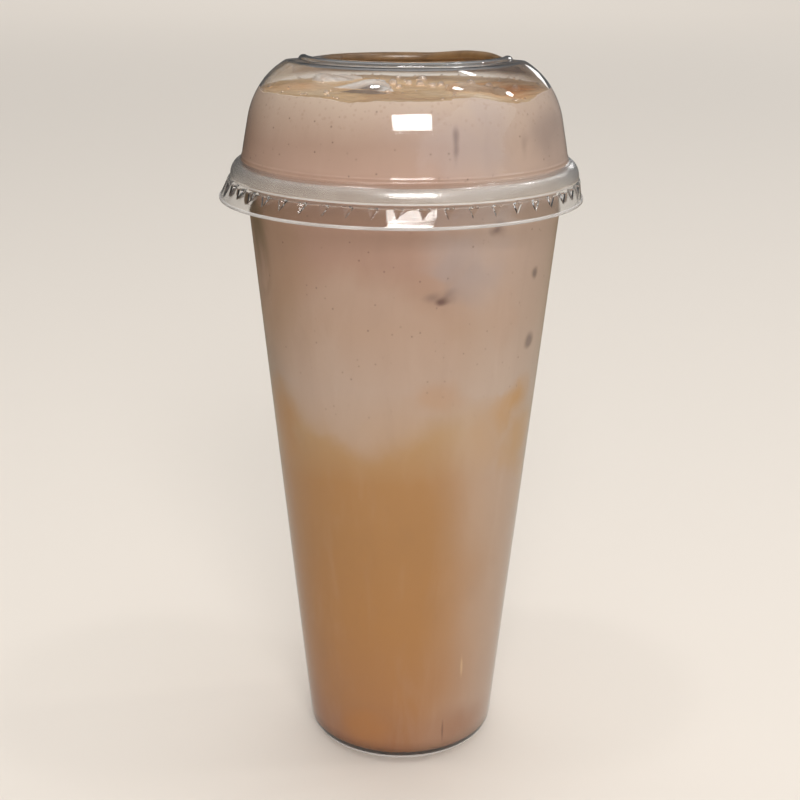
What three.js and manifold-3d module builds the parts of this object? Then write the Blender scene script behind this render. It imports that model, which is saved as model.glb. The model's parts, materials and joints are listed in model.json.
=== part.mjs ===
import * as THREE from "three";
import { ConvexGeometry } from "three/addons/geometries/ConvexGeometry.js";
import { RoundedBoxGeometry } from "three/addons/geometries/RoundedBoxGeometry.js";
import { mergeVertices } from "three/addons/utils/BufferGeometryUtils.js";
import Module from "manifold-3d";

const wasm = await Module();
wasm.setup();

// All sizes in millimetres, +Z up, the cup stands on z = 0 with its axis on Z

const roundSides = 48;
const gap = 0.3;
const deg = Math.PI / 180;

// Cup: a leaning thin wall, a rounded foot and a turned over rim
const cupBaseRadius = 27.5;
const cupLean = 0.0958;
const cupWall = 0.6;
const footCorner = 4.6;
const footRingInner = 19;
const basePush = 1.2;
const basePushRun = 1.5;
const rimSpring = 172.3;
const rimOuter = 46.9;
const rimLegDrop = 1.8;

// Lid: middle line of its sheet from the skirt edge to the drinking hole
const lidSheet = 0.5;
const skirtEdge = { radius: 50.1, height: 165 };
const skirtFoot = { radius: 49.45, height: 165.4 };
const skirtTop = { radius: 47.9, height: 170.3 };
const beadFoot = { radius: 47.55, height: 170.9 };
const beadSpring = 171.05;
const beadWide = 3.3;
const beadRise = 4;
const domeFoot = { radius: 44.4, height: 175.95 };
const domeSpring = { radius: 42.48, height: 186.15 };
const shoulderRadius = 22.6;
const shoulderFrom = 10.85;
const shoulderTo = 57.1;
const crownRadius = 3;
const holeLip = { outer: 28.6, inner: 26.2, rise: 1.2 };
const lipBump = { rise: 1.1, bearing: 132, spread: 26 };

// Snap lugs pressed into the skirt
const lugCount = 48;
const lugHalfWide = 1.3;
const lugTop = 169.6;
const lugTip = 167.1;
const lugDepth = 1.1;
const lugBack = 0.7;
const lugGrow = 1.6;
const lugCut = 1.5;

// Drink: brown tea below, milk and foam above
const layerLevel = 109;
const layerSwing = { once: 6, thrice: 7 };
const drinkLevel = 194.6;
const foamWaves = [
  { swell: 0.45, alongX: 0.13, alongY: 0.05, shift: 0.6 },
  { swell: 0.35, alongX: -0.07, alongY: 0.21, shift: 2.1 },
  { swell: 0.25, alongX: 0.24, alongY: 0.17, shift: 4.0 },
];
const ringSteps = [1, 0.8, 0.55, 0.3, 0];

// Half melted ice that breaks the surface
const iceRound = 3.4;
const icePieces = [
  { name: "ice_left", size: [20, 17, 16], at: [-12, -9], top: 198.2, turn: [13, -9, 14] },
  { name: "ice_right", size: [18, 17, 15], at: [20, -10], top: 197.8, turn: [-12, 11, -22] },
  { name: "ice_back", size: [19, 16, 15], at: [-17, 15.5], top: 197.6, turn: [9, 13, 35] },
];

const point = (r, z) => new THREE.Vector2(r, z);

function arc(centre, wide, tall, from, to, steps) {
  const points = [];
  for (let i = 0; i <= steps; i += 1) {
    const turn = (from + ((to - from) * i) / steps) * deg;
    points.push(point(centre.x + wide * Math.cos(turn), centre.y + tall * Math.sin(turn)));
  }
  return points;
}

// A line moved sideways by a set distance, to its right seen along its run
function besides(line, distance) {
  return line.map((here, i) => {
    const before = line[Math.max(i - 1, 0)];
    const after = line[Math.min(i + 1, line.length - 1)];
    const run = after.clone().sub(before).normalize();
    return point(here.x + run.y * distance, here.y - run.x * distance);
  });
}

function radiusAt(line, z) {
  for (let i = 1; i < line.length; i += 1) {
    const low = line[i - 1];
    const high = line[i];
    if (z <= high.y) return low.x + ((high.x - low.x) * (z - low.y)) / (high.y - low.y);
  }
  return line[line.length - 1].x;
}

function turned(profile) {
  const geometry = new THREE.LatheGeometry(profile, roundSides);
  geometry.rotateX(Math.PI / 2);
  return geometry;
}

function solidOf(geometry) {
  const plain = geometry.clone();
  plain.deleteAttribute("normal");
  plain.deleteAttribute("uv");
  const merged = mergeVertices(plain, 1e-4);
  const corners = merged.index.array;
  const kept = [];
  for (let i = 0; i < corners.length; i += 3) {
    const [a, b, c] = [corners[i], corners[i + 1], corners[i + 2]];
    if (a !== b && b !== c && c !== a) kept.push(a, b, c);
  }
  const mesh = new wasm.Mesh({
    numProp: 3,
    vertProperties: new Float32Array(merged.attributes.position.array),
    triVerts: new Uint32Array(kept),
  });
  return new wasm.Manifold(mesh);
}

function geometryOf(solid) {
  const mesh = solid.getMesh();
  const geometry = new THREE.BufferGeometry();
  geometry.setAttribute("position", new THREE.BufferAttribute(mesh.vertProperties, 3));
  geometry.setIndex(new THREE.BufferAttribute(mesh.triVerts, 1));
  geometry.computeVertexNormals();
  return geometry;
}

// Cup
const leanAngle = Math.atan(cupLean) / deg;
const outerRadius = (z) => cupBaseRadius + cupLean * z;
const innerRadius = (z) => outerRadius(z) - cupWall;
const cornerRun = (footCorner * (1 - Math.sin(leanAngle * deg))) / Math.cos(leanAngle * deg);
const cornerCentre = point(cupBaseRadius - cornerRun, footCorner);
const pushEdge = footRingInner - basePushRun;

function footLine(inset) {
  const sweep = footCorner - inset;
  return [
    point(0, basePush + inset),
    point(pushEdge, basePush + inset),
    point(footRingInner, inset),
    ...arc(cornerCentre, sweep, sweep, -90, -leanAngle, 4),
  ];
}

function rimLine(inner, outer, springs, steps) {
  const half = (outer - inner) / 2;
  return arc(point(inner + half, springs), half, half, 0, 180, steps);
}

function cupProfile() {
  const legFoot = rimSpring - rimLegDrop;
  const under = rimLine(outerRadius(rimSpring), rimOuter - cupWall, rimSpring, 4).reverse();
  const over = rimLine(innerRadius(rimSpring), rimOuter, rimSpring, 6);
  return [
    ...footLine(0),
    ...under,
    point(rimOuter - cupWall, legFoot),
    point(rimOuter, legFoot),
    ...over,
    ...footLine(cupWall).reverse(),
  ];
}

// Lid
function domeLine() {
  const turn = shoulderFrom * deg;
  const shoulderCentre = point(
    domeSpring.radius - shoulderRadius * Math.cos(turn),
    domeSpring.height - shoulderRadius * Math.sin(turn),
  );
  const shoulder = arc(shoulderCentre, shoulderRadius, shoulderRadius, shoulderFrom, shoulderTo, 7);
  const last = shoulder[shoulder.length - 1];
  const crownCentre = point(
    last.x - crownRadius * Math.cos(shoulderTo * deg),
    last.y - crownRadius * Math.sin(shoulderTo * deg),
  );
  const crown = arc(crownCentre, crownRadius, crownRadius, shoulderTo, 90, 3).slice(1);
  return [point(domeFoot.radius, domeFoot.height), ...shoulder, ...crown];
}

function lidLine() {
  const dome = domeLine();
  const flat = dome[dome.length - 1].y;
  const beadCentre = point(beadFoot.radius - beadWide, beadSpring);
  const lipCentre = point((holeLip.outer + holeLip.inner) / 2, flat);
  const lipHalf = (holeLip.outer - holeLip.inner) / 2;
  return [
    point(skirtEdge.radius, skirtEdge.height),
    point(skirtFoot.radius, skirtFoot.height),
    point(skirtTop.radius, skirtTop.height),
    point(beadFoot.radius, beadFoot.height),
    ...arc(beadCentre, beadWide, beadRise, 0, 80, 4),
    ...dome,
    ...arc(lipCentre, lipHalf, holeLip.rise, 15, 180, 4),
  ];
}

function lidGeometry() {
  const line = lidLine();
  const outside = besides(line, lidSheet / 2);
  const inside = besides(line, -lidSheet / 2).reverse();
  const geometry = turned([...outside, ...inside, outside[0]]);
  const places = geometry.attributes.position;
  const flat = domeLine().pop().y - lidSheet;
  for (let i = 0; i < places.count; i += 1) {
    const [x, y, z] = [places.getX(i), places.getY(i), places.getZ(i)];
    const onLip = z > flat && Math.hypot(x, y) < holeLip.outer;
    if (onLip) {
      const off = (Math.atan2(x, -y) / deg - lipBump.bearing) / lipBump.spread;
      places.setZ(i, z + lipBump.rise * Math.exp(-off * off));
    }
  }
  return geometry;
}

// One lug: a small pyramid on a skirt facet, seen at the front and then turned round
function lugSolid(turn, grow, apexDepth, baseDepth) {
  const skirt = [
    point(skirtFoot.radius, skirtFoot.height),
    point(skirtTop.radius, skirtTop.height),
  ];
  const facet = Math.cos(Math.PI / roundSides);
  const face = (z) => radiusAt(skirt, z) * facet + lidSheet / 2;
  const middle = (2 * lugTop + lugTip) / 3;
  const corner = (side, z) => {
    const height = middle + (z - middle) * grow;
    return new THREE.Vector3(side * grow, baseDepth - face(height), height);
  };
  const points = [
    corner(-lugHalfWide, lugTop),
    corner(lugHalfWide, lugTop),
    corner(0, lugTip),
    new THREE.Vector3(0, apexDepth - face(lugTop), lugTop),
  ];
  const axis = new THREE.Vector3(0, 0, 1);
  return solidOf(new ConvexGeometry(points.map((p) => p.applyAxisAngle(axis, turn))));
}

function lidSolid() {
  let lid = solidOf(lidGeometry());
  for (let i = 0; i < lugCount; i += 1) {
    const turn = ((i + 0.5) * 2 * Math.PI) / lugCount;
    const bump = lugSolid(turn, lugGrow, lugDepth + lugBack, lidSheet / 2);
    const dent = lugSolid(turn, lugCut, lugDepth, -lugDepth * (lugCut - 1));
    lid = lid.add(bump).subtract(dent);
  }
  return lid;
}

// Drink
function fillLine() {
  const dome = besides(domeLine(), -lidSheet / 2 - gap);
  const neck = point(innerRadius(rimSpring) - gap, rimSpring);
  return [...footLine(cupWall + gap).slice(2), neck, ...dome];
}

const fill = fillLine();

function layerRise(x, y) {
  const around = Math.atan2(x, -y);
  const out = Math.hypot(x, y) / radiusAt(fill, layerLevel);
  return out * (layerSwing.once * Math.sin(around) + layerSwing.thrice * Math.sin(3 * around));
}

function foamRise(x, y) {
  let rise = 0;
  for (const wave of foamWaves) {
    rise += wave.swell * Math.sin(wave.alongX * x + wave.alongY * y + wave.shift);
  }
  return rise;
}

// Moves the points of one flat end up or down and keeps them on the wall line
function swell(geometry, level, rise) {
  const places = geometry.attributes.position;
  const across = radiusAt(fill, level);
  for (let i = 0; i < places.count; i += 1) {
    if (Math.abs(places.getZ(i) - level) < 1e-4) {
      const height = level + rise(places.getX(i), places.getY(i));
      const widen = radiusAt(fill, height) / across;
      places.setXYZ(i, places.getX(i) * widen, places.getY(i) * widen, height);
    }
  }
}

const flatEnd = (level) => ringSteps.map((step) => point(radiusAt(fill, level) * step, level));

function teaSolid() {
  const top = layerLevel - gap / 2;
  const geometry = turned([...footLine(cupWall + gap), ...flatEnd(top)]);
  swell(geometry, top, layerRise);
  return solidOf(geometry);
}

function iceSolid(piece, grow) {
  const size = piece.size.map((side) => side + 2 * grow);
  const geometry = new RoundedBoxGeometry(...size, 1, iceRound + grow);
  const turn = new THREE.Euler(...piece.turn.map((angle) => angle * deg));
  const spin = new THREE.Matrix4().makeRotationFromEuler(turn);
  const row = [spin.elements[2], spin.elements[6], spin.elements[10]];
  const reach = row.reduce((sum, part, i) => sum + (Math.abs(part) * piece.size[i]) / 2, 0);
  geometry.applyMatrix4(spin);
  geometry.translate(piece.at[0], piece.at[1], piece.top - reach);
  return solidOf(geometry);
}

function milkSolid() {
  const bottom = layerLevel + gap / 2;
  const side = fill.filter((p) => p.y > bottom && p.y < drinkLevel - 2);
  const geometry = turned([...flatEnd(bottom).reverse(), ...side, ...flatEnd(drinkLevel)]);
  swell(geometry, bottom, layerRise);
  swell(geometry, drinkLevel, foamRise);
  let milk = solidOf(geometry);
  for (const piece of icePieces) milk = milk.subtract(iceSolid(piece, gap));
  return milk;
}

// Finished pieces
const group = new THREE.Group();

function place(name, geometry, color, roughness) {
  const material = new THREE.MeshStandardMaterial({ color, roughness, metalness: 0 });
  const mesh = new THREE.Mesh(geometry, material);
  mesh.name = name;
  group.add(mesh);
}

place("cup", geometryOf(solidOf(turned(cupProfile()))), 0xdcd5ce, 0.08);
place("lid", geometryOf(lidSolid()), 0xd3cdc8, 0.08);
place("tea", geometryOf(teaSolid()), 0x9f7650, 0.3);
place("milk", geometryOf(milkSolid()), 0xb5988a, 0.4);
for (const piece of icePieces) place(piece.name, geometryOf(iceSolid(piece, 0)), 0xd8cdc2, 0.15);

export default group;
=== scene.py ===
import json
import math
import random

import bpy
from mathutils import Matrix, Quaternion, Vector

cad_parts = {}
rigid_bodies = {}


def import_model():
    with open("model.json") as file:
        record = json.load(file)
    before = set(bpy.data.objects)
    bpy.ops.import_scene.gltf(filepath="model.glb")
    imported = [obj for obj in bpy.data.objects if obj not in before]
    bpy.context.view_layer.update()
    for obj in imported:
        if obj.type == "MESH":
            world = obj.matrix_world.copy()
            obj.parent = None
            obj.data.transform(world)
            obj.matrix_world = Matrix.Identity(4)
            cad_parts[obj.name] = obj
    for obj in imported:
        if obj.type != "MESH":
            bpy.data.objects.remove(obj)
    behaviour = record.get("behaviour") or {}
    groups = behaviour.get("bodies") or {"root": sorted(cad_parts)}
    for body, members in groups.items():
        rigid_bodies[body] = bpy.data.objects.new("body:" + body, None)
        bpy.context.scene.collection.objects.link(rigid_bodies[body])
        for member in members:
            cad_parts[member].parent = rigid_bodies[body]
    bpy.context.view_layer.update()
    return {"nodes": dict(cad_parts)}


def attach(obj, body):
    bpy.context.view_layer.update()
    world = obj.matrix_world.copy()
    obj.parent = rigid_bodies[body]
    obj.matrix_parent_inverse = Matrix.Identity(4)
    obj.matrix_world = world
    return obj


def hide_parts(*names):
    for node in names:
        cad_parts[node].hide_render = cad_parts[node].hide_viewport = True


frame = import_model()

mm = 0.001
random.seed(7)


# Small helpers

def linearShare(level):
    share = level / 255
    return share / 12.92 if level < 11 else ((share + 0.055) / 1.055) ** 2.4


def tone(red, green, blue):
    # screen colour 0 to 255 as a linear shader colour
    return tuple(linearShare(level) for level in (red, green, blue)) + (1,)


def clearSelection():
    if bpy.context.object and bpy.context.object.mode != "OBJECT":
        bpy.ops.object.mode_set(mode="OBJECT")
    bpy.ops.object.select_all(action="DESELECT")


def makeActive(piece):
    clearSelection()
    piece.select_set(True)
    bpy.context.view_layer.objects.active = piece


def selectParts(piece, mode, test):
    # leaves edit mode on with just the points or faces that pass the test picked
    makeActive(piece)
    bpy.ops.object.mode_set(mode="EDIT")
    bpy.ops.mesh.select_mode(type=mode)
    bpy.ops.mesh.select_all(action="DESELECT")
    bpy.ops.object.mode_set(mode="OBJECT")
    parts = piece.data.vertices if mode == "VERT" else piece.data.polygons
    for part in parts:
        part.select = test(part)
    bpy.ops.object.mode_set(mode="EDIT")


def selectPoints(piece, test):
    selectParts(piece, "VERT", lambda point: test(point.co))


def selectFaces(piece, test):
    selectParts(piece, "FACE", test)


def inBand(face, band):
    return band[0] * mm < face.center.z < band[1] * mm


def applyModifier(piece, kind, **settings):
    makeActive(piece)
    modifier = piece.modifiers.new(kind.lower(), kind)
    for name, value in settings.items():
        setattr(modifier, name, value)
    bpy.ops.object.modifier_apply(modifier=modifier.name)


def rumple(piece, name, kind, size, depth, **settings):
    # push a surface about with a cloud or cell pattern
    pattern = bpy.data.textures.new(name, kind)
    pattern.noise_scale = size * mm
    applyModifier(piece, "DISPLACE", texture=pattern, texture_coords="LOCAL", strength=depth * mm,
                  mid_level=0.5, **settings)


def pushSoftly(move, falloff, reach):
    # move what is picked and draw its surroundings along
    bpy.ops.transform.translate(value=tuple(step * mm for step in move), use_proportional_edit=True,
                                proportional_edit_falloff=falloff, proportional_size=reach * mm)


def arcLine(centre, wide, tall, start, end, steps):
    turns = [math.radians(start + (end - start) * i / steps) for i in range(steps + 1)]
    return [(centre[0] + wide * math.cos(t), centre[1] + tall * math.sin(t)) for t in turns]


def besideLine(line, distance):
    # the line moved to its right by a distance
    moved = []
    for i, (r, z) in enumerate(line):
        before, after = line[max(i - 1, 0)], line[min(i + 1, len(line) - 1)]
        run = (after[0] - before[0], after[1] - before[1])
        length = math.hypot(*run)
        moved.append((r + run[1] / length * distance, z - run[0] / length * distance))
    return moved


def spinLine(name, line, steps):
    # draw a half outline by extruding one point, then turn it round Z
    clearSelection()
    bpy.ops.mesh.primitive_plane_add(size=mm, location=(0, 0, 0))
    piece = bpy.context.object
    piece.name = name
    piece.data.name = name
    bpy.ops.object.mode_set(mode="EDIT")
    bpy.ops.mesh.select_mode(type="VERT")
    bpy.ops.mesh.select_all(action="SELECT")
    bpy.ops.mesh.merge(type="CENTER")
    bpy.ops.transform.translate(value=(line[0][0] * mm, 0, line[0][1] * mm))
    for here, there in zip(line, line[1:]):
        step = ((there[0] - here[0]) * mm, 0, (there[1] - here[1]) * mm)
        bpy.ops.mesh.extrude_vertices_move(TRANSFORM_OT_translate={"value": step})
    bpy.ops.mesh.select_all(action="SELECT")
    bpy.ops.mesh.spin(steps=steps, angle=2 * math.pi, center=(0, 0, 0), axis=(0, 0, 1))
    bpy.ops.mesh.select_all(action="SELECT")
    bpy.ops.mesh.remove_doubles(threshold=2e-6)
    bpy.ops.mesh.normals_make_consistent(inside=False)
    bpy.ops.object.mode_set(mode="OBJECT")
    return piece


def faceOut(piece, low, high):
    # an open sheet may come out turned: look at a band of its wall
    band = [f for f in piece.data.polygons if low * mm < f.center.z < high * mm]
    lean = sum(f.normal.x * f.center.x + f.normal.y * f.center.y for f in band)
    if lean < 0:
        makeActive(piece)
        bpy.ops.object.mode_set(mode="EDIT")
        bpy.ops.mesh.select_all(action="SELECT")
        bpy.ops.mesh.flip_normals()
        bpy.ops.object.mode_set(mode="OBJECT")


def smooth(piece, angle):
    makeActive(piece)
    bpy.ops.object.shade_smooth_by_angle(angle=math.radians(angle))


def hand(piece, material, slot, *nodes):
    # give a finished piece its finish and its place on the part
    if material:
        piece.data.materials.clear()
        piece.data.materials.append(material)
    if nodes:
        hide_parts(*nodes)
    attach(piece, "root")


# Shader helpers

def put(tree, kind, inputs=None, **settings):
    node = tree.nodes.new(kind)
    for name, value in settings.items():
        setattr(node, name, value)
    for name, value in (inputs or {}).items():
        if isinstance(value, bpy.types.NodeSocket):
            tree.links.new(value, node.inputs[name])
        else:
            node.inputs[name].default_value = value
    return node


def newGroup(name, inputs, outputs):
    tree = bpy.data.node_groups.new(name, "ShaderNodeTree")
    for label, value in inputs.items():
        kind = "NodeSocketVector" if isinstance(value, tuple) else "NodeSocketFloat"
        socket = tree.interface.new_socket(label, in_out="INPUT", socket_type=kind)
        socket.default_value = value
    for label, kind in outputs.items():
        tree.interface.new_socket(label, in_out="OUTPUT", socket_type=kind)
    return tree, tree.nodes.new("NodeGroupInput"), tree.nodes.new("NodeGroupOutput")


def newMaterial(name):
    material = bpy.data.materials.new(name)
    material.use_nodes = True
    return material, material.node_tree, material.node_tree.nodes["Principled BSDF"]


def millimetres(tree):
    coords = put(tree, "ShaderNodeTexCoord")
    scaled = put(tree, "ShaderNodeVectorMath", {0: coords.outputs["Object"]}, operation="SCALE")
    scaled.inputs["Scale"].default_value = 1000
    return scaled.outputs["Vector"]


def math2(tree, operation, first, second):
    return put(tree, "ShaderNodeMath", {0: first, 1: second}, operation=operation).outputs[0]


def times(tree, first, second):
    return math2(tree, "MULTIPLY", first, second)


def fade(tree, value, fromLow, fromHigh, toLow=0.0, toHigh=1.0):
    inputs = {"Value": value, "From Min": fromLow, "From Max": fromHigh, "To Min": toLow, "To Max": toHigh}
    return put(tree, "ShaderNodeMapRange", inputs, interpolation_type="SMOOTHSTEP").outputs["Result"]


def noise(tree, place, scale, detail, rough=0.5, bend=0.0):
    inputs = {"Vector": place, "Scale": scale, "Detail": detail, "Roughness": rough, "Distortion": bend}
    return put(tree, "ShaderNodeTexNoise", inputs).outputs["Fac"]


def cellPattern(tree, place, size):
    return put(tree, "ShaderNodeTexVoronoi", {"Vector": place, "Scale": size}, feature="F1").outputs


def axesOf(tree, place):
    return put(tree, "ShaderNodeSeparateXYZ", {0: place}).outputs


def stretch(tree, place, scale):
    return put(tree, "ShaderNodeMapping", {"Vector": place, "Scale": scale}).outputs["Vector"]


def blend(tree, share, first, second):
    # sockets 6 and 7 are the two colours of a mix node
    return put(tree, "ShaderNodeMix", {0: share, 6: first, 7: second}, data_type="RGBA").outputs[2]


def ramp(tree, share, stops):
    node = put(tree, "ShaderNodeValToRGB", {"Fac": share})
    while len(node.color_ramp.elements) < len(stops):
        node.color_ramp.elements.new(0.5)
    for element, (spot, colour) in zip(node.color_ramp.elements, stops):
        element.position = spot
        element.color = colour
    return node.outputs["Color"]


def toneRamp(tree, share, stops):
    return ramp(tree, share, [(spot, tone(*colour)) for spot, colour in stops])


print("stage: helpers ready")


# Clear plastic

plasticLook = {
    "ior": 1.5,
    "tint": (0.965, 0.96, 0.95, 1),
    "waveSize": 0.06,  # sizes are per millimetre
    "waveDepth": 0.00012,
    "waveStretch": (1, 1, 0.35),
    "smearSize": 0.11,
    "ringStretch": (0.05, 0.05, 1.6),  # fine lines round the dome
    "ringTop": (193, 188),
    "lowShadeTint": (0.88, 0.865, 0.84, 1),  # bead and skirt, tinted darker as painted shade
    "lowFrom": (176, 173),
    "film": (0.26, 0.155, 0.078, 1),
    "dimming": (0.83, 0.82, 0.80, 1),  # what the lid leaves of a lamp's light
    "haze": [(0.3, (224, 219, 214)), (0.7, (242, 239, 235))],
    "hazeSize": 0.12,
}


def plasticGroup():
    look = plasticLook
    tree, given, result = newGroup(
        "plasticSurface",
        {"Polish": 0.02, "Smear": 0.05, "Lines": 0.0},
        {"Roughness": "NodeSocketFloat", "Height": "NodeSocketFloat"},
    )
    place = millimetres(tree)
    stretched = stretch(tree, place, look["waveStretch"])
    smears = fade(tree, noise(tree, stretched, look["smearSize"], 5, 0.6), 0.45, 0.75)
    amount = times(tree, smears, given.outputs["Smear"])
    tree.links.new(math2(tree, "ADD", amount, given.outputs["Polish"]), result.inputs["Roughness"])
    up = axesOf(tree, place)["Z"]
    below = times(tree, fade(tree, up, *look["ringTop"]), given.outputs["Lines"])
    rings = times(tree, noise(tree, stretch(tree, place, look["ringStretch"]), 1.0, 3, 0.6), below)
    waves = noise(tree, stretched, look["waveSize"], 2)
    tree.links.new(math2(tree, "ADD", waves, rings), result.inputs["Height"])
    return tree


def filmGroup():
    # milky tea left on the far side of the crown and a breath of it to the right
    tree, given, result = newGroup("teaFilm", {}, {"Color": "NodeSocketColor"})
    place = millimetres(tree)
    axes = axesOf(tree, place)
    runs = stretch(tree, place, (1, 1, 0.5))
    broken = fade(tree, noise(tree, runs, 0.10, 3, 0.5, 0.3), 0.25, 0.6, 0.8, 1)
    high = fade(tree, axes["Z"], 194.5, 197)
    far = fade(tree, axes["Y"], 6, 24)
    right = fade(tree, axes["X"], 14, 36, 0, 0.5)
    share = times(tree, math2(tree, "MAXIMUM", far, right), times(tree, high, broken))
    # painted shade: below lowFrom the bead and skirt take the darker tint
    low = fade(tree, axes["Z"], *plasticLook["lowFrom"])
    plain = blend(tree, low, plasticLook["tint"], plasticLook["lowShadeTint"])
    tree.links.new(blend(tree, share, plain, plasticLook["film"]), result.inputs["Color"])
    return tree


plasticSurface = plasticGroup()
teaFilm = filmGroup()


def clearPlastic(name, polish, smear, lines, bump):
    material, tree, shader = newMaterial(name)
    inputs = {"Polish": polish, "Smear": smear, "Lines": lines}
    surface = put(tree, "ShaderNodeGroup", inputs, node_tree=plasticSurface)
    relief = put(tree, "ShaderNodeBump", {"Height": surface.outputs["Height"], "Strength": bump})
    relief.inputs["Distance"].default_value = plasticLook["waveDepth"]
    shader.inputs["Base Color"].default_value = plasticLook["tint"]
    shader.inputs["Transmission Weight"].default_value = 1
    shader.inputs["IOR"].default_value = plasticLook["ior"]
    tree.links.new(surface.outputs["Roughness"], shader.inputs["Roughness"])
    tree.links.new(relief.outputs["Normal"], shader.inputs["Normal"])
    return material


def hazyPlastic(name, clarity, polish):
    material = clearPlastic(name, polish, 0.1, 0.0, 0.5)
    tree = material.node_tree
    shader = tree.nodes["Principled BSDF"]
    veil = noise(tree, millimetres(tree), plasticLook["hazeSize"], 3, 0.6)
    tree.links.new(toneRamp(tree, veil, plasticLook["haze"]), shader.inputs["Base Color"])
    shader.inputs["Transmission Weight"].default_value = clarity
    return material


def coverFaces(piece, material, test):
    # a second finish on some of the faces
    piece.data.materials.append(material)
    selectFaces(piece, test)
    piece.active_material_index = len(piece.data.materials) - 1
    bpy.ops.object.material_slot_assign()
    bpy.ops.object.mode_set(mode="OBJECT")


def lidPlastic(name, polish):
    material = clearPlastic(name, polish, 0.04, 0.35, 0.6)
    tree = material.node_tree
    shader = tree.nodes["Principled BSDF"]
    film = put(tree, "ShaderNodeGroup", node_tree=teaFilm)
    tree.links.new(film.outputs["Color"], shader.inputs["Base Color"])
    rays = put(tree, "ShaderNodeLightPath")
    dimmed = put(tree, "ShaderNodeBsdfTransparent", {"Color": plasticLook["dimming"]})
    either = put(tree, "ShaderNodeMixShader", {"Fac": rays.outputs["Is Shadow Ray"]})
    tree.links.new(shader.outputs["BSDF"], either.inputs[1])
    tree.links.new(dimmed.outputs["BSDF"], either.inputs[2])
    tree.links.new(either.outputs["Shader"], tree.nodes["Material Output"].inputs["Surface"])
    return material


# Cup shell

cupSizes = {  # millimetres
    "baseRadius": 27.5,
    "lean": 0.0958,  # outwards for each millimetre up
    "wall": 0.6,
    "corner": 4.6,
    "floorTop": 2.7,
    "floorCorner": 5.6,
    "floorSpread": 0.3,
    "ringInner": 19,
    "push": 1.2,
    "pushRun": 1.5,
    "wallFrom": 14,
    "wallEnds": 3,  # under the rim's spring
    "rimSpring": 172.3,
    "rimOuter": 46.9,
    "legDrop": 1.4,
    "rolledBand": 2.4,
    "footBand": 2.4,
    "turns": 160,
}


def cupRadius(z):
    return cupSizes["baseRadius"] + cupSizes["lean"] * z


def footLine(steps):
    s = cupSizes
    lean = math.atan(s["lean"])
    run = s["corner"] * (1 - math.sin(lean)) / math.cos(lean)
    centre = (s["baseRadius"] - run, s["corner"])
    edge = s["ringInner"] - s["pushRun"]
    corner = arcLine(centre, s["corner"], s["corner"], -90, -math.degrees(lean), steps)
    return [(0, s["push"]), (edge * 0.5, s["push"]), (edge, s["push"]), (s["ringInner"], 0), *corner]


def floorLine(outset, steps):
    # the inside of the thick foot, outset into the plastic where the drink is drawn with it
    s = cupSizes
    lean = math.degrees(math.atan(s["lean"]))
    level = s["floorTop"] - outset
    wall = cupRadius(s["floorTop"] + s["floorCorner"]) - s["wall"] + outset
    centre = (wall - s["floorCorner"] - outset + s["floorSpread"], s["floorTop"] + s["floorCorner"])
    corner = arcLine(centre, s["floorCorner"] + outset, s["floorCorner"] + outset, -90, -lean, steps)
    return [(0, level), (centre[0] * 0.5, level), *corner]


def wallLine(low, high, inset, steps):
    heights = [low + (high - low) * i / steps for i in range(steps + 1)]
    return [(cupRadius(z) - inset, z) for z in heights]


def buildCup():
    s = cupSizes
    half = (s["rimOuter"] - cupRadius(s["rimSpring"]) + s["wall"]) / 2
    centre = (s["rimOuter"] - half, s["rimSpring"])
    legFoot = s["rimSpring"] - s["legDrop"]
    wallTop = s["rimSpring"] - s["wallEnds"]
    under = arcLine(centre, half - s["wall"], half - s["wall"], 180, 0, 14)
    over = arcLine(centre, half, half, 0, 180, 16)
    leg = [(s["rimOuter"] - s["wall"], legFoot), (s["rimOuter"], legFoot)]
    outside = footLine(12) + wallLine(s["wallFrom"], wallTop, 0, 8) + under
    inside = wallLine(s["wallFrom"], wallTop, s["wall"], 8)[::-1] + floorLine(0, 12)[::-1]
    cup = spinLine("cupShell", outside + leg + over + inside, s["turns"])
    smooth(cup, 40)
    return cup


cup = buildCup()
hand(cup, clearPlastic("clearCup", 0.025, 0.05, 0.0, 0.5), "clear_cup", "cup")
rolled = cupSizes["rimSpring"] - cupSizes["rolledBand"]
coverFaces(cup, hazyPlastic("rolledRim", 0.76, 0.12), lambda f: f.center.z > rolled * mm)
coverFaces(cup, hazyPlastic("footEdge", 0.3, 0.15), lambda f: f.center.z < cupSizes["footBand"] * mm)
print("stage: cup shell", len(cup.data.polygons))


# Dome lid

lidSizes = {
    "sheet": 0.5,
    "skirtEdge": (50.1, 165.0),
    "skirtCurl": (49.75, 165.02),
    "skirtFoot": (49.45, 165.4),
    "skirtTop": (47.9, 170.3),
    "skirtRow": 165.9,
    "groove": (47.42, 170.3),
    "beadFoot": (47.55, 170.9),
    "beadSpring": 171.05,
    "beadWide": 3.3,
    "beadRise": 4.0,
    "domeFoot": (44.4, 175.95),
    "domeCentre": (20.28, 181.9),
    "shoulder": 22.6,
    "shoulderFrom": 10.85,
    "shoulderTo": 57.1,
    "shoulderSteps": 22,
    "crown": 3.0,
    "lipOuter": 28.6,
    "lipInner": 26.2,
    "lipRise": 1.2,
    "turns": 240,
}
footRidge = [  # the dome's rounded foot and the fine ridge over it, from the foot point
    (0.26, -0.78),
    (0.13, -0.6),
    (0.06, -0.42),
    (0.03, -0.2),
    (0.06, 0.0),
    (0.07, 0.1),
    (0.05, 0.22),
    (-0.01, 0.34),
    (-0.09, 0.46),
    (-0.14, 0.6),
    (-0.2, 0.85),
]
lugSizes = {
    "count": 48,
    "top": 169.4,
    "tip": 167.0,
    "depth": 1.0,
    "ledge": 0.3,
    "phase": -1.5,
    "middle": 0.05,  # shares of a lug step
    "half": 0.2,
}
lipBump = {"rise": 1.1, "bearing": 132, "spread": 15, "inset": 1.2, "over": 0.6, "core": 2.5}
lipSag = {"drop": 1.8, "from": 8, "spread": 13, "under": 0.4}
skirtPull = {"aside": -0.9, "below": 165.95, "spread": 5}


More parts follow.
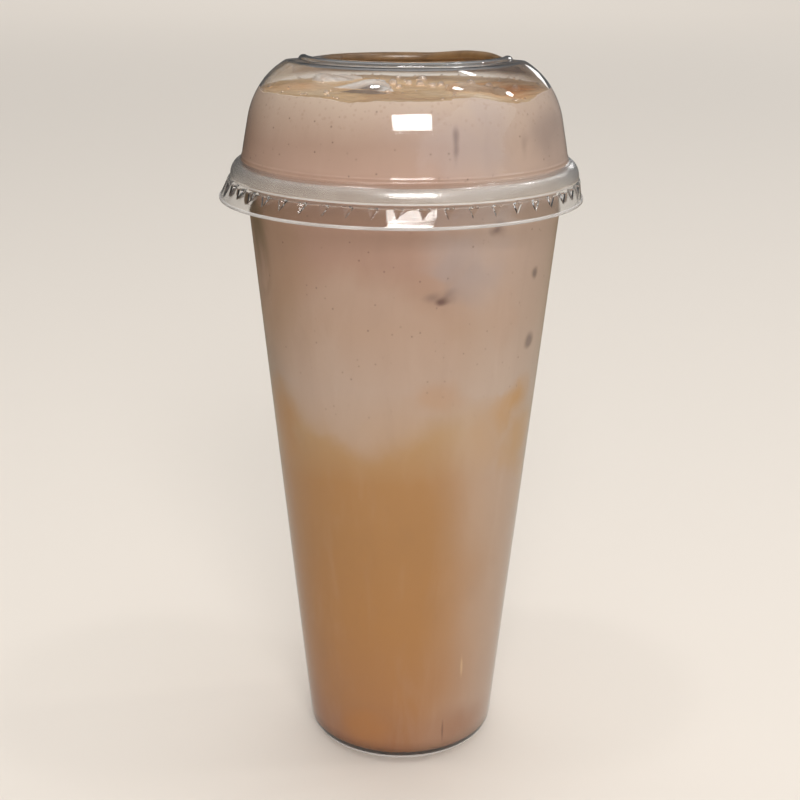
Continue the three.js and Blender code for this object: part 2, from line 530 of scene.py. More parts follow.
def domeLine():
    s = lidSizes
    size, ends = s["shoulder"], (s["shoulderFrom"], s["shoulderTo"])
    shoulder = arcLine(s["domeCentre"], size, size, *ends, s["shoulderSteps"])
    end = math.radians(s["shoulderTo"])
    crownCentre = (shoulder[-1][0] - s["crown"] * math.cos(end), shoulder[-1][1] - s["crown"] * math.sin(end))
    crown = arcLine(crownCentre, s["crown"], s["crown"], s["shoulderTo"], 90, 6)[1:]
    foot, spring = s["domeFoot"], shoulder[0]
    run = (spring[0] - foot[0], spring[1] - foot[1])
    wall = [(foot[0] + run[0] * k, foot[1] + run[1] * k) for k in (0.3, 0.5, 0.75)]
    ridge = [(foot[0] + out, foot[1] + up) for out, up in footRidge]
    return ridge + wall + shoulder + crown


def crownHeight():
    return domeLine()[-1][1]


def skirtPoint(z):
    foot, top = lidSizes["skirtFoot"], lidSizes["skirtTop"]
    return (foot[0] + (top[0] - foot[0]) * (z - foot[1]) / (top[1] - foot[1]), z)


def lidLine():
    s = lidSizes
    beadCentre = (s["beadFoot"][0] - s["beadWide"], s["beadSpring"])
    bead = arcLine(beadCentre, s["beadWide"], s["beadRise"], 0, 78, 12)
    lipMid, lipHalf = (s["lipOuter"] + s["lipInner"]) / 2, (s["lipOuter"] - s["lipInner"]) / 2
    lip = arcLine((lipMid, crownHeight()), lipHalf, s["lipRise"], 10, 180, 12)
    rows = (s["skirtRow"], lugSizes["tip"], lugSizes["top"], lugSizes["top"] + lugSizes["ledge"])
    edge = [s["skirtEdge"], s["skirtCurl"], s["skirtFoot"]]
    skirt = edge + [skirtPoint(z) for z in rows]
    return skirt + [s["groove"], s["beadFoot"]] + bead + domeLine() + lip


def lugShare(point):
    # how far round this point is from the middle of its lug, in lug steps
    step = 360 / lugSizes["count"]
    turn = (math.degrees(math.atan2(point.y, point.x)) - lugSizes["phase"]) / step
    return abs(turn - round(turn))


def pressLugs(lid):
    top, tip = lugSizes["top"] * mm, lugSizes["tip"] * mm
    shrink = 1 - lugSizes["depth"] / skirtPoint(lugSizes["top"])[0]
    selectPoints(lid, lambda p: abs(p.z - top) < 0.02 * mm and lugShare(p) < lugSizes["middle"])
    bpy.ops.transform.resize(value=(shrink, shrink, 1), center_override=(0, 0, 0))
    selectFaces(lid, lambda f: tip < f.center.z < top and lugShare(f.center) < lugSizes["half"])
    bpy.ops.mesh.quads_convert_to_tris(quad_method="SHORTEST_DIAGONAL", ngon_method="BEAUTY")
    bpy.ops.object.mode_set(mode="OBJECT")


def bumpLip(lid):
    low = (crownHeight() + lipBump["over"]) * mm
    bearing = math.radians(lipBump["bearing"])
    out = (lidSizes["lipOuter"] - lipBump["inset"]) * mm
    aim = (out * math.sin(bearing), -out * math.cos(bearing))
    core = lipBump["core"] * mm
    selectPoints(lid, lambda p: p.z > low and math.hypot(p.x - aim[0], p.y - aim[1]) < core)
    pushSoftly((0, 0, lipBump["rise"]), "SMOOTH", lipBump["spread"])
    bpy.ops.object.mode_set(mode="OBJECT")


def sagLip(lid):
    low = (crownHeight() - lipSag["under"]) * mm
    start = lipSag["from"] * mm
    selectPoints(lid, lambda p: p.z > low and p.y > start)
    pushSoftly((0, 0, -lipSag["drop"]), "SMOOTH", lipSag["spread"])
    bpy.ops.object.mode_set(mode="OBJECT")


def pullSkirt(lid):
    # the thin skirt sits a little to the left
    selectPoints(lid, lambda p: p.z < skirtPull["below"] * mm)
    pushSoftly((skirtPull["aside"], 0, 0), "LINEAR", skirtPull["spread"])
    bpy.ops.object.mode_set(mode="OBJECT")


def buildLid():
    lid = spinLine("lidShell", lidLine(), lidSizes["turns"])
    faceOut(lid, 180, 186)
    pressLugs(lid)
    pullSkirt(lid)
    bumpLip(lid)
    sagLip(lid)
    applyModifier(lid, "SOLIDIFY", thickness=lidSizes["sheet"] * mm, offset=0, use_even_offset=True)
    smooth(lid, 24)
    return lid


lid = buildLid()
hand(lid, lidPlastic("clearLid", 0.02), "clear_lid", "lid")
beadBand = (lidSizes["beadFoot"][1] + 0.1, lidSizes["domeFoot"][1] - 0.3)
coverFaces(lid, lidPlastic("handledBead", 0.17), lambda f: inBand(f, beadBand))
# painted highlight: the pale whitish plastic at the cut edge and the fold under the bead stands in for lamp
# light mirrored there
cutEdge = lidSizes["skirtFoot"][1] + 0.1
fold = (lidSizes["groove"][1] + 0.05, lidSizes["beadFoot"][1] - 0.05)
coverFaces(lid, hazyPlastic("skirtEdge", 0.6, 0.1), lambda f: f.center.z < cutEdge * mm or inBand(f, fold))
cup.visible_shadow = False  # lamp light goes straight through thin clear plastic
for shell in (cup, lid):
    shell.visible_diffuse = False
print("stage: dome lid", len(lid.data.polygons))


# Tea left on the far side of the crown

filmLook = {
    "off": 0.31,
    "sheet": 0.08,
    "lowest": 195.5,
    "from": 2,
    "tones": [(0.35, (98, 72, 44)), (0.65, (130, 100, 66))],
    "roughness": 0.3,
}


def filmLine():
    s = lidSizes
    off = filmLook["off"]
    under = [p for p in besideLine(domeLine(), -off) if p[1] > filmLook["lowest"]]
    flat = crownHeight()
    lipMid, reach = (s["lipOuter"] + s["lipInner"]) / 2, s["lipRise"] + off
    return under + [(lipMid - reach, flat - off)] + arcLine((lipMid, flat), reach, reach, 180, 70, 10)


def filmFinish():
    material, tree, shader = newMaterial("crownFilm")
    place = millimetres(tree)
    axes = axesOf(tree, place)
    patches = noise(tree, stretch(tree, place, (1, 1, 0.5)), 0.12, 4, 0.55, 0.4)
    tree.links.new(toneRamp(tree, patches, filmLook["tones"]), shader.inputs["Base Color"])
    left = fade(tree, axes["X"], -25, -15)
    far = fade(tree, axes["Y"], 4, 14)
    high = fade(tree, axes["Z"], 196, 197.6)
    torn = fade(tree, patches, 0.2, 0.5, 0.8, 1)
    share = times(tree, times(tree, left, far), times(tree, high, torn))
    tree.links.new(share, shader.inputs["Alpha"])
    shader.inputs["Roughness"].default_value = filmLook["roughness"]
    return material


def buildFilm():
    film = spinLine("crownFilm", filmLine(), lidSizes["turns"])
    selectFaces(film, lambda f: f.center.y < filmLook["from"] * mm)
    bpy.ops.mesh.delete(type="FACE")
    bpy.ops.object.mode_set(mode="OBJECT")
    bumpLip(film)
    sagLip(film)
    applyModifier(film, "SOLIDIFY", thickness=filmLook["sheet"] * mm, offset=0)
    smooth(film, 50)
    return film


film = buildFilm()
film.visible_shadow = False
hand(film, filmFinish(), "milk_tea")
print("stage: crown film", len(film.data.polygons))


# Drink colours

drinkTones = [  # share of the full height, screen colour
    (0.000, (138, 90, 58)),
    (0.035, (150, 101, 66)),
    (0.100, (161, 112, 68)),
    (0.220, (163, 115, 65)),
    (0.360, (161, 116, 68)),
    (0.460, (163, 119, 72)),
    (0.530, (170, 136, 97)),
    (0.585, (170, 146, 127)),
    (0.680, (163, 130, 105)),
    (0.780, (163, 130, 112)),
    (0.845, (164, 131, 113)),
    # painted light: these two stops lift the band under the lid's bead out of the shade it casts
    (0.870, (174, 141, 123)),
    (0.886, (182, 151, 134)),
    (0.915, (174, 145, 128)),
    (0.970, (192, 170, 152)),
]
drinkLook = {
    "fullHeight": 200.0,
    "cupTop": 174,
    "cloudSize": 0.022,
    "cloudReach": 7.0,
    "curlSize": 0.07,
    "leastDepth": 3,  # of a patch, so that a narrow one still meets the wall
    "driftReach": 5,
    "drift": (3, 27, 0.57, (187, 166, 150)),  # the paler right side: from, to, share, tone
    "shade": (-30, -46, 0.5, (120, 88, 54)),  # painted shade: the left side darker, away from the light
    "streakStretch": (1, 1, 0.25),
    "streaks": [(0.16, 0.05, (88, 66, 58)), (0.13, 0.04, (224, 206, 190))],  # size, share, tone
    "speckSize": 0.45,
    "speckTone": (88, 66, 58),
    "frothSize": 0.6,  # the fine bubbles just under the foam line
    "frothTone": (146, 112, 90),
    "frothFrom": (184, 191),
    "roughness": 0.5,
    "shine": 0.15,
}
# soft patches against the wall: across, height, half width, half height, share, wobble, edge, tone
clouds = [
    (-11, 126.5, 38, 35, 0.62, 0.05, 0.14, (176, 150, 132)),
    (-17, 117, 15, 15, 0.35, 0.3, 0.6, (178, 156, 140)),
    (-33, 105, 9, 13, 0.85, 0.3, 0.5, (168, 122, 72)),
    (-32, 150, 12, 30, 0.4, 0.3, 0.6, (150, 121, 92)),
    # painted shade: the dark patch at the upper left edge
    (-39.5, 158, 6.5, 17, 0.85, 0.4, 0.6, (104, 82, 54)),
    (37, 183, 11, 12, 0.42, 0.5, 0.65, (138, 122, 116)),
    (17, 184, 17, 10, 0.4, 0.4, 0.5, (172, 156, 152)),
    (17, 157, 13, 11, 0.45, 0.4, 0.6, (164, 150, 146)),
    (9, 118, 8, 4.5, 0.4, 0.4, 0.6, (172, 130, 92)),
    (31, 113, 8, 8, 0.95, 0.4, 0.6, (182, 138, 84)),
    (32, 99, 9, 16, 0.85, 0.4, 0.6, (182, 142, 94)),
    (24, 104, 9, 10, 0.4, 0.4, 0.6, (178, 140, 100)),
    (27, 138, 6, 9, 0.3, 0.5, 0.6, (176, 144, 122)),
    (14.5, 151, 7, 6.5, 0.15, 0.6, 0.6, (132, 118, 114)),
    (7.5, 145.6, 4.5, 2.6, 0.65, 0.6, 0.6, (108, 86, 80)),
    (9.2, 144.4, 2.2, 1.4, 0.8, 0.5, 0.5, (84, 54, 48)),
    (12.4, 185, 0.9, 5.2, 0.65, 0.7, 0.6, (112, 92, 88)),
    (30, 183, 2.0, 5.5, 0.5, 0.7, 0.6, (112, 94, 90)),
    (22.9, 162.1, 4.2, 2.2, 0.75, 0.7, 0.6, (106, 84, 80)),
    (34.5, 148, 1.0, 1.6, 0.75, 0.5, 0.6, (88, 72, 68)),
    (33.8, 128.8, 1.4, 2.2, 0.7, 0.6, 0.6, (94, 76, 72)),
    (17, 9, 14, 9, 0.7, 0.2, 0.6, (150, 104, 74)),
    (-11, 12, 7, 6, 0.45, 0.4, 0.6, (170, 112, 54)),
    # painted highlight: the thin pale streak low on the right
    (17.6, 31, 0.35, 4.5, 0.45, 0.3, 0.6, (216, 184, 140)),
    (12.4, 10, 0.4, 4.5, 0.8, 0.1, 0.5, (112, 78, 60)),
]


def spotGroup():
    # share of a soft patch round a centre
    start = {"Place": (0, 0, 0), "Centre": (0, 0, 0), "Reach": (1, 1, 1), "Wobble": 0.0, "Edge": 0.6}
    tree, given, result = newGroup("softSpot", start, {"Share": "NodeSocketFloat"})
    place, centre, reach = (given.outputs[label] for label in ("Place", "Centre", "Reach"))
    off = put(tree, "ShaderNodeVectorMath", {0: place, 1: centre}, operation="SUBTRACT").outputs["Vector"]
    shaped = put(tree, "ShaderNodeVectorMath", {0: off, 1: reach}, operation="DIVIDE").outputs["Vector"]
    size = put(tree, "ShaderNodeVectorMath", {0: shaped}, operation="LENGTH").outputs["Value"]
    ragged = math2(tree, "ADD", size, given.outputs["Wobble"])
    outer = math2(tree, "ADD", 0.7, given.outputs["Edge"])
    inner = math2(tree, "SUBTRACT", 0.7, given.outputs["Edge"])
    tree.links.new(fade(tree, ragged, outer, inner), result.inputs["Share"])
    return tree


softSpot = spotGroup()


def spotShare(tree, place, centre, reach, edge, wobble=0.0):
    inputs = {"Place": place, "Centre": centre, "Reach": reach, "Edge": edge, "Wobble": wobble}
    return put(tree, "ShaderNodeGroup", inputs, node_tree=softSpot).outputs["Share"]


def drinkGroup():
    look = drinkLook
    tree, given, result = newGroup("drinkTone", {"Specks": 1.0}, {"Color": "NodeSocketColor"})
    place = millimetres(tree)
    axes = axesOf(tree, place)
    across, height = axes["X"], axes["Z"]
    broad = noise(tree, place, look["cloudSize"], 1.5, 0.4, 0.3)
    wobble = fade(tree, noise(tree, place, look["curlSize"], 2, 0.5, 0.6), 0.25, 0.75, -1, 1)
    half, aside = look["cloudReach"] / 2, look["driftReach"]
    lifted = math2(tree, "ADD", height, fade(tree, broad, 0.25, 0.75, -half, half))
    colour = toneRamp(tree, math2(tree, "DIVIDE", lifted, look["fullHeight"]), drinkTones)
    drifted = math2(tree, "ADD", across, fade(tree, broad, 0.3, 0.7, -aside, aside))
    # the paler right side, then painted shade on the left side
    for low, high, most, shade in (look["drift"], look["shade"]):
        colour = blend(tree, fade(tree, drifted, low, high, 0, most), colour, tone(*shade))
    for side, up, wide, tall, most, ragged, edge, shade in clouds:
        wall = cupRadius(min(up, look["cupTop"])) - cupSizes["wall"]
        centre = (side, -math.sqrt(max(wall ** 2 - side ** 2, 1)), up)
        reach = (wide, max(wide, look["leastDepth"]), tall)
        spot = spotShare(tree, place, centre, reach, edge, times(tree, wobble, ragged))
        colour = blend(tree, times(tree, spot, most), colour, tone(*shade))
    drawn = stretch(tree, place, look["streakStretch"])
    for size, most, shade in look["streaks"]:
        streaks = noise(tree, drawn, size, 4, 0.6, 0.5)
        colour = blend(tree, fade(tree, streaks, 0.5, 0.75, 0, most), colour, tone(*shade))
    dots = cellPattern(tree, place, look["speckSize"])
    near = fade(tree, dots["Distance"], 0.17, 0.05)
    few = fade(tree, axesOf(tree, dots["Color"])["X"], 0.4, 0.9, 0, 0.65)
    upper = fade(tree, height, 95, 135, 0.25, 0.9)
    share = times(tree, times(tree, near, few), times(tree, upper, given.outputs["Specks"]))
    colour = blend(tree, share, colour, tone(*look["speckTone"]))
    holes = fade(tree, cellPattern(tree, place, look["frothSize"])["Distance"], 0.34, 0.12, 0, 0.22)
    frothy = times(tree, holes, fade(tree, height, *look["frothFrom"]))
    colour = blend(tree, frothy, colour, tone(*look["frothTone"]))
    tree.links.new(colour, result.inputs["Color"])
    return tree


drinkTone = drinkGroup()


def drinkFinish(name, specks):
    material, tree, shader = newMaterial(name)
    surface = put(tree, "ShaderNodeGroup", {"Specks": specks}, node_tree=drinkTone)
    tree.links.new(surface.outputs["Color"], shader.inputs["Base Color"])
    shader.inputs["Roughness"].default_value = drinkLook["roughness"]
    shader.inputs["Specular IOR Level"].default_value = drinkLook["shine"]
    return material


foamLook = {
    "tones": [(0.3, (180, 140, 94)), (0.5, (200, 166, 122)), (0.7, (216, 190, 156))],
    "patchSize": 0.06,
    "cellSize": 0.7,
    "cellShare": 0.12,
    "cellTone": (150, 118, 90),
    "cellDepth": 0.0004,
    "roughness": 0.22,
}
foamSpots = [  # places on the foam where strong tea shows, and painted shade beside the nearest ice: centre, reach, share, edge, tone
    ((27, -8, 194), (11, 20, 8), 1.0, 0.6, (184, 122, 64)),
    ((-27, -8, 195), (16, 14, 8), 0.9, 0.6, (186, 138, 90)),
    ((4, -33, 194), (22, 5, 8), 0.4, 0.6, (196, 150, 106)),
    # painted shade: the dark wedge beside the nearest ice
    ((-12.5, -20, 194.6), (7.5, 5.5, 6), 0.85, 0.2, (104, 80, 62)),
]


def foamTopFinish():
    look = foamLook
    material, tree, shader = newMaterial("foamTop")
    place = millimetres(tree)
    patches = noise(tree, place, look["patchSize"], 4, 0.55, 0.5)
    colour = toneRamp(tree, patches, look["tones"])
    ragged = fade(tree, patches, 0.3, 0.7, -0.4, 0.4)
    # strong tea, and painted shade beside the nearest ice
    for centre, reach, most, edge, shade in foamSpots:
        spot = spotShare(tree, place, centre, reach, edge, ragged)
        colour = blend(tree, times(tree, spot, most), colour, tone(*shade))
    cells = cellPattern(tree, place, look["cellSize"])["Distance"]
    rings = fade(tree, cells, 0.15, 0.5)
    colour = blend(tree, times(tree, rings, look["cellShare"]), colour, tone(*look["cellTone"]))
    relief = put(tree, "ShaderNodeBump", {"Height": cells, "Strength": 0.2})
    relief.inputs["Distance"].default_value = look["cellDepth"]
    tree.links.new(colour, shader.inputs["Base Color"])
    tree.links.new(relief.outputs["Normal"], shader.inputs["Normal"])
    shader.inputs["Roughness"].default_value = look["roughness"]
    return material


# Ice that breaks the surface

iceLook = {
    "roughness": 0.06,
    "ior": 1.31,
    "meltSize": 5.0,
    "meltDepth": 1.1,
    "carve": 0.97,
    "veilSize": 0.16,
    "reliefSize": 0.45,
    "reliefDepth": 0.0008,
    "paintedShade": (92, 70, 56),  # painted shade: the dark side of the nearest piece
    "paintedShadeAt": (-12.5, -15.5, 195.4),
    "paintedShadeReach": (10, 8, 2.4),
    "paintedShadeEdge": 0.14,
    "paintedShadeShare": 0.8,
}


def iceFinish(name, core, edge, clarity):
    look = iceLook
    material, tree, shader = newMaterial(name)
    place = millimetres(tree)
    veil = noise(tree, place, look["veilSize"], 4, 0.6, 0.6)
    colour = toneRamp(tree, veil, [(0.35, core), (0.65, edge)])
    # painted shade on the dark side of the nearest ice piece
    spot = spotShare(tree, place, look["paintedShadeAt"], look["paintedShadeReach"], look["paintedShadeEdge"])
    colour = blend(tree, times(tree, spot, look["paintedShadeShare"]), colour, tone(*look["paintedShade"]))
    tree.links.new(colour, shader.inputs["Base Color"])
    pits = noise(tree, place, look["reliefSize"], 4)
    relief = put(tree, "ShaderNodeBump", {"Height": pits, "Strength": 0.6})
    relief.inputs["Distance"].default_value = look["reliefDepth"]
    tree.links.new(relief.outputs["Normal"], shader.inputs["Normal"])
    shader.inputs["Roughness"].default_value = look["roughness"]
    shader.inputs["IOR"].default_value = look["ior"]
    shader.inputs["Transmission Weight"].default_value = clarity
    return material


def copyOf(piece, name):
    makeActive(piece)
    bpy.ops.object.duplicate()
    copied = bpy.context.object
    copied.name = name
    copied.data.name = name
    return copied


def buildIce(node, name):
    ice = copyOf(frame["nodes"][node], name)
    bpy.ops.object.parent_clear(type="CLEAR_KEEP_TRANSFORM")
    bpy.ops.object.transform_apply(location=True, rotation=True, scale=True)
    bpy.ops.mesh.customdata_custom_splitnormals_clear()
    bpy.ops.object.mode_set(mode="EDIT")
    bpy.ops.mesh.select_all(action="SELECT")
    bpy.ops.mesh.remove_doubles(threshold=1e-6)
    bpy.ops.mesh.tris_convert_to_quads()
    bpy.ops.object.mode_set(mode="OBJECT")
    applyModifier(ice, "SUBSURF", subdivision_type="SIMPLE", levels=4, render_levels=4)
    applyModifier(ice, "SMOOTH", factor=0.5, iterations=4)
    rumple(ice, name + "Melt", "CLOUDS", iceLook["meltSize"], iceLook["meltDepth"])
    smooth(ice, 60)
    return ice


def iceCarver(ice):
    # a slightly smaller copy, so the foam reaches just into the ice
    carver = copyOf(ice, ice.name + "Carver")
    middle = sum((p.co for p in carver.data.vertices), Vector()) / len(carver.data.vertices)
    bpy.ops.object.mode_set(mode="EDIT")
    bpy.ops.mesh.select_all(action="SELECT")
    bpy.ops.transform.resize(value=(iceLook["carve"],) * 3, center_override=middle)
    bpy.ops.object.mode_set(mode="OBJECT")
    return carver


wetIce = iceFinish("wetIce", (226, 208, 190), (250, 244, 236), 0.5)
teaIce = iceFinish("teaIce", (202, 160, 116), (228, 200, 168), 0.5)
iceParts = []
for node, name, finish in (
    ("ice_left", "iceLeft", wetIce),
    ("ice_right", "iceRight", teaIce),
    ("ice_back", "iceBack", wetIce),
):
    ice = buildIce(node, name)
    hand(ice, finish, "ice", node)
    ice.visible_shadow = False
    iceParts.append(ice)
print("stage: ice")


# Drink bodies

drinkSizes = {
    "intoWall": 0.25,
    "layer": 109.0,
    "level": 194.3,
    "cutTop": 199.0,
    "foamFrom": 188,
    "foamEdge": 0.35,  # the foam's own finish stops this far from the wall
    "turns": 160,
}
cutterSizes = {"size": 96, "cells": 170, "tall": 20, "core": 1.2}
foamRumples = {"foamSwell": ("CLOUDS", 22, 1.5), "foamFroth": ("VORONOI", 3.2, 0.35)}
foamDips = [  # plan place, rise and reach of each push on the foam
    (28, -26, -1.5, 13),
    (14, -34, 0.5, 7),
    (-2, -37, 0.1, 7),
    (-14, -35, -0.7, 7),
    (-28, -4, 1.0, 9),
    (-36, -14, -0.6, 8),
    (10, 10, -0.4, 14),
]


def fillDome():
    reach = lidSizes["sheet"] / 2 - drinkSizes["intoWall"]
    return [p for p in besideLine(domeLine(), -reach) if p[1] < drinkSizes["cutTop"]]


def buildTea():
    s = drinkSizes
    inset = cupSizes["wall"] - s["intoWall"]
    side = wallLine(cupSizes["wallFrom"], s["layer"], inset, 10)
    line = floorLine(s["intoWall"], 10) + side + [(0, s["layer"])]
    tea = spinLine("teaBody", line, s["turns"])
    smooth(tea, 40)
    return tea


def foamCutter():
    clearSelection()
    s = cutterSizes
    level = (0, 0, drinkSizes["level"] * mm)
    bpy.ops.mesh.primitive_grid_add(x_subdivisions=s["cells"], y_subdivisions=s["cells"],
                                    size=s["size"] * mm, location=level)
    block = bpy.context.object
    bpy.ops.object.transform_apply(location=True)
    for name, (kind, size, rise) in foamRumples.items():
        rumple(block, name, kind, size, rise, direction="Z")
    for x, y, rise, reach in foamDips:
        selectPoints(block, lambda p: math.hypot(p.x - x * mm, p.y - y * mm) < s["core"] * mm)
        pushSoftly((0, 0, rise), "SMOOTH", reach)
    bpy.ops.mesh.select_all(action="SELECT")
    bpy.ops.mesh.extrude_region_move(TRANSFORM_OT_translate={"value": (0, 0, s["tall"] * mm)})
    bpy.ops.mesh.select_all(action="SELECT")
    bpy.ops.mesh.normals_make_consistent(inside=False)
    bpy.ops.object.mode_set(mode="OBJECT")
    return block


def isFoam(face, dome):
    # faces up, high in the dome and off the wall
    point = face.center
    if face.normal.z <= 0.2 or point.z <= drinkSizes["foamFrom"] * mm:
        return False
    above = [p for p in dome if p[1] * mm >= point.z]
    return not above or math.hypot(point.x, point.y) < (above[0][0] - drinkSizes["foamEdge"]) * mm


def buildMilk(wallFinish, topFinish, carvers):
    s = drinkSizes
    inset = cupSizes["wall"] - s["intoWall"]
    dome = fillDome()
    side = wallLine(s["layer"], cupSizes["rimSpring"], inset, 10)
    line = [(0, s["layer"])] + side + dome + [(0, dome[-1][1])]
    milk = spinLine("milkBody", line, s["turns"])
    for cutter in [foamCutter()] + carvers:
        applyModifier(milk, "BOOLEAN", object=cutter, operation="DIFFERENCE", solver="MANIFOLD")
        bpy.data.objects.remove(cutter)
    milk.data.materials.clear()
    milk.data.materials.append(wallFinish)
    coverFaces(milk, topFinish, lambda f: isFoam(f, dome))
    smooth(milk, 50)
    return milk


tea = buildTea()
hand(tea, drinkFinish("teaLayer", 0.5), "tea", "tea")
milk = buildMilk(drinkFinish("milkLayer", 1.0), foamTopFinish(), [iceCarver(ice) for ice in iceParts])
hand(milk, None, "milk_tea", "milk")
print("stage: drink", len(tea.data.polygons), len(milk.data.polygons))


# Bubbles on the foam

bubbleSizes = {
    "film": 0.05,
    "sunk": 0.35,
    "froth": 70,  # how many small ones
    "small": (0.22, 0.55),
    "edge": (36.0, 37.2),  # how far out, by the wall or on the open foam
    "open": (8, 35),
    "dropFrom": 210,  # set down on the foam from here
}
bubbleTones = [(0.3, (236, 222, 206)), (0.7, (252, 248, 244))]
bubbles = [  # plan place and radius
    (17.8, 3.0, 1.35),
    (22.2, -5.0, 1.1),
    (9.8, 7.0, 1.0),
    (7.6, 4.0, 0.9),
    (11.4, 2.0, 0.7),
    (4.1, 6.4, 1.15),
    (1.0, 9.0, 0.9),
    (-3.4, 5.0, 1.2),
    (-1.7, -3.9, 0.8),
    (-5.4, 1.0, 0.7),
    (-4.5, -20.5, 0.9),
    (12.5, -23.5, 0.6),
    (-20.0, -24.0, 0.7),
    (29.0, -8.0, 0.8),
    (5.0, 24.0, 1.2),
    (-2.0, 27.0, 0.8),
]


def bubbleFinish():
    material, tree, shader = newMaterial("bubbleFilm")
    thin = noise(tree, millimetres(tree), 0.8, 2)
    tree.links.new(toneRamp(tree, thin, bubbleTones), shader.inputs["Base Color"])
    shader.inputs["Transmission Weight"].default_value = 0.93
    shader.inputs["IOR"].default_value = 1.4
    shader.inputs["Roughness"].default_value = 0.03
    return material


def blowBubble(name, facets):
    clearSelection()
    bpy.ops.mesh.primitive_ico_sphere_add(subdivisions=facets, radius=mm)
    bubble = bpy.context.object
    bubble.name = name
    applyModifier(bubble, "SOLIDIFY", thickness=bubbleSizes["film"] * mm, offset=-1)
    smooth(bubble, 80)
    return bubble


def foamHeight(x, y):
    start = (x * mm, y * mm, bubbleSizes["dropFrom"] * mm)
    found, spot, up, face = milk.ray_cast(start, (0, 0, -1))
    return spot.z / mm if found else drinkSizes["level"]


def buildBubbles():
    large = blowBubble("bubbleLarge", 4)
    small = blowBubble("bubbleSmall", 2)
    plan = [(large, x, y, r) for x, y, r in bubbles]
    for i in range(bubbleSizes["froth"]):
        turn = random.uniform(0, 2 * math.pi)
        out = random.choice((random.uniform(*bubbleSizes["edge"]), random.uniform(*bubbleSizes["open"])))
        radius = random.uniform(*bubbleSizes["small"])
        plan.append((small, out * math.sin(turn), -out * math.cos(turn), radius))
    blown = []
    for i, (kind, x, y, radius) in enumerate(plan):
        bubble = copyOf(kind, "bubble" + str(i))
        bubble.scale = (radius,) * 3
        bubble.location = (x * mm, y * mm, (foamHeight(x, y) + radius * bubbleSizes["sunk"]) * mm)
        blown.append(bubble)
    for kind in (large, small):
        bpy.data.objects.remove(kind)
    makeActive(blown[0])
    for bubble in blown:
        bubble.select_set(True)
    bpy.ops.object.join()
    bpy.ops.object.transform_apply(location=True, rotation=True, scale=True)
    blown[0].name = "surfaceBubbles"
    blown[0].data.name = "surfaceBubbles"
    return blown[0]


froth = buildBubbles()
froth.visible_shadow = False
hand(froth, bubbleFinish(), "milk_tea")
print("stage: bubbles", len(froth.data.polygons))


# Floor, light and camera

stageLook = {
    "floorTone": (216, 207, 196),
    "floorSize": 24,
    "floorRoughness": 0.7,
    "worldDim": 0.07,
    "worldBright": 0.22,
    "ceiling": 0.4,
    "below": 0.48,
    "airTones": [(0, (0.95, 0.97, 1, 1)), (0.35, (1, 0.78, 0.5, 1)), (0.97, (1, 0.93, 0.84, 1))],
}
lamps = {  # place, aim, size, turn, power, lights things, shows in reflections
    "window": ((0.117, -1.212, 0.957), (0, 0, 0.19), (0.65, 0.53), 0, 13, True, True),
    "windowShine": ((0.116, -1.206, 0.953), (0, 0, 0.19), (0.64, 0.52), 0, 8, False, True),
    "sidePanel": ((1.167, -0.698, 0.873), (0.215, 0.306, 0.654), (2.6, 1.2), 41, 6.0, False, True),
    "overhead": ((0.1, -0.1, 1.9), (0, 0, 0.1), (1.8, 1.8), 0, 8, True, False),
    "leftFill": ((-0.6, -1.7, 0.6), (0, 0, 0.1), (1.2, 1.0), 0, 3, True, False),
    "farWash": ((0.0, 5.5, 4.5), (0, 5.5, 0), (9, 7), 0, 330, True, False),
    "spotRight": ((0.86, -0.14, 2.0), (0, 0, 0.19), (0.10, 0.16), 0, 3, True, True),
    "spotLeft": ((-0.50, -0.22, 2.1), (0, 0, 0.19), (0.10, 0.16), 0, 3, True, True),
    "spotFar": ((1.48, 0.48, 1.4), (0, 0, 0.19), (0.09, 0.14), 0, 2.2, True, True),
    "crownGlint": ((0.725, 0.786, 1.882), (0, 0, 0.19), (0.28, 0.09), -169, 1.0, False, True),
    "edgeShine": ((1.41, 3.67, 0.90), (0, 0, 0.19), (0.55, 0.5), 0, 2.0, False, True),
}
lampTints = {"sidePanel": (0.75, 0.88, 1.0)}
photoView = {"place": (-0.0008, -0.375365, 0.231454), "pitch": 18.6784, "roll": 0.43, "lens": 61.14}


def buildFloor():
    clearSelection()
    bpy.ops.mesh.primitive_plane_add(size=stageLook["floorSize"], location=(0, 0, 0))
    floor = bpy.context.object
    floor.name = "floor"
    material, tree, shader = newMaterial("paleFloor")
    shader.inputs["Base Color"].default_value = tone(*stageLook["floorTone"])
    shader.inputs["Roughness"].default_value = stageLook["floorRoughness"]
    floor.data.materials.append(material)
    floor.visible_glossy = False  # or its mirror image pales the edges of the plastic


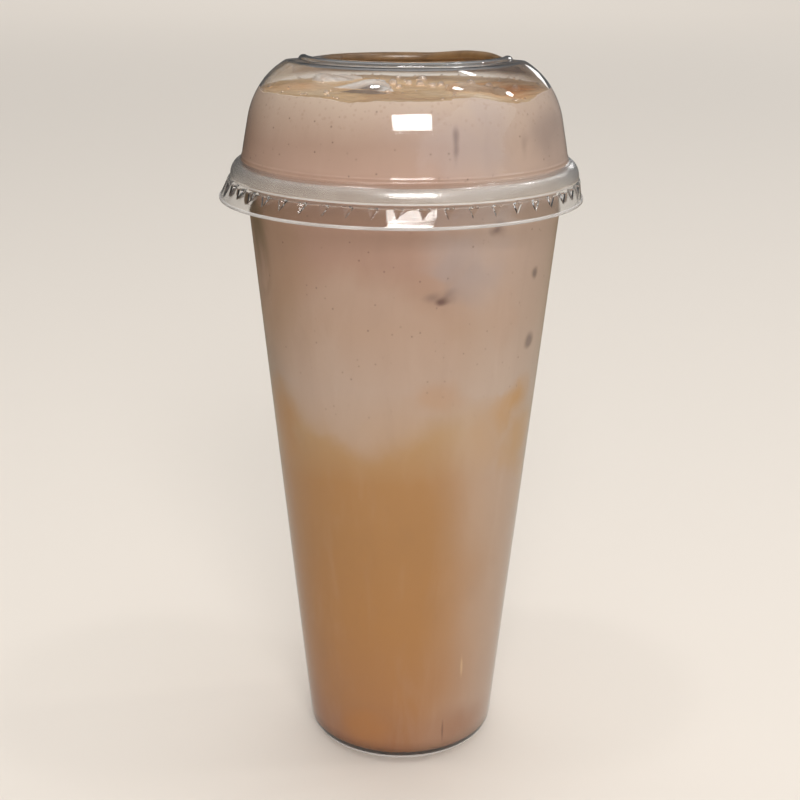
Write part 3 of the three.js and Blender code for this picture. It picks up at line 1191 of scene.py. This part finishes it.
def hangLamp(name, place, aim, size, turn, power, lights, mirrored):
    light = bpy.data.lights.new(name, "AREA")
    light.shape = "RECTANGLE"
    light.size, light.size_y = size
    light.energy = power
    light.color = lampTints.get(name, (1, 1, 1))
    lamp = bpy.data.objects.new(name, light)
    bpy.context.collection.objects.link(lamp)
    lamp.location = place
    facing = (Vector(aim) - lamp.location).to_track_quat("-Z", "Y")
    lamp.rotation_euler = (facing @ Quaternion((0, 0, 1), math.radians(turn))).to_euler()
    lamp.visible_diffuse = lights
    lamp.visible_glossy = mirrored
    lamp.visible_transmission = mirrored


def lightScene():
    # soft light, dimmer on the left
    scene = bpy.context.scene
    world = bpy.data.worlds.new("softRoom")
    world.use_nodes = True
    tree = world.node_tree
    coords = put(tree, "ShaderNodeTexCoord")
    way = put(tree, "ShaderNodeSeparateXYZ", {0: coords.outputs["Generated"]})
    sides = fade(tree, way.outputs["X"], -0.5, 0.9, stageLook["worldDim"], stageLook["worldBright"])
    ceiling = fade(tree, way.outputs["Z"], 0.35, 0.9, 0, stageLook["ceiling"])
    below = fade(tree, way.outputs["Z"], -0.12, -0.5, 0, stageLook["below"])
    both = math2(tree, "ADD", ceiling, below)
    tree.links.new(math2(tree, "ADD", sides, both), tree.nodes["Background"].inputs["Strength"])
    air = ramp(tree, fade(tree, way.outputs["Z"], 0, -0.5), stageLook["airTones"])
    tree.links.new(air, tree.nodes["Background"].inputs["Color"])
    scene.world = world
    scene.view_settings.view_transform = "Standard"
    for name, lamp in lamps.items():
        hangLamp(name, *lamp)


def placeCamera():
    data = bpy.data.cameras.new("photoCamera")
    data.lens = photoView["lens"]
    data.sensor_width = 36
    data.clip_start = 0.01
    camera = bpy.data.objects.new("photoCamera", data)
    bpy.context.collection.objects.link(camera)
    tilt = Matrix.Rotation(math.radians(90 - photoView["pitch"]), 4, "X")
    roll = Matrix.Rotation(math.radians(photoView["roll"]), 4, "Z")
    camera.matrix_world = Matrix.Translation(photoView["place"]) @ tilt @ roll
    bpy.context.scene.camera = camera


buildFloor()
lightScene()
placeCamera()
print("stage: floor, light, camera")
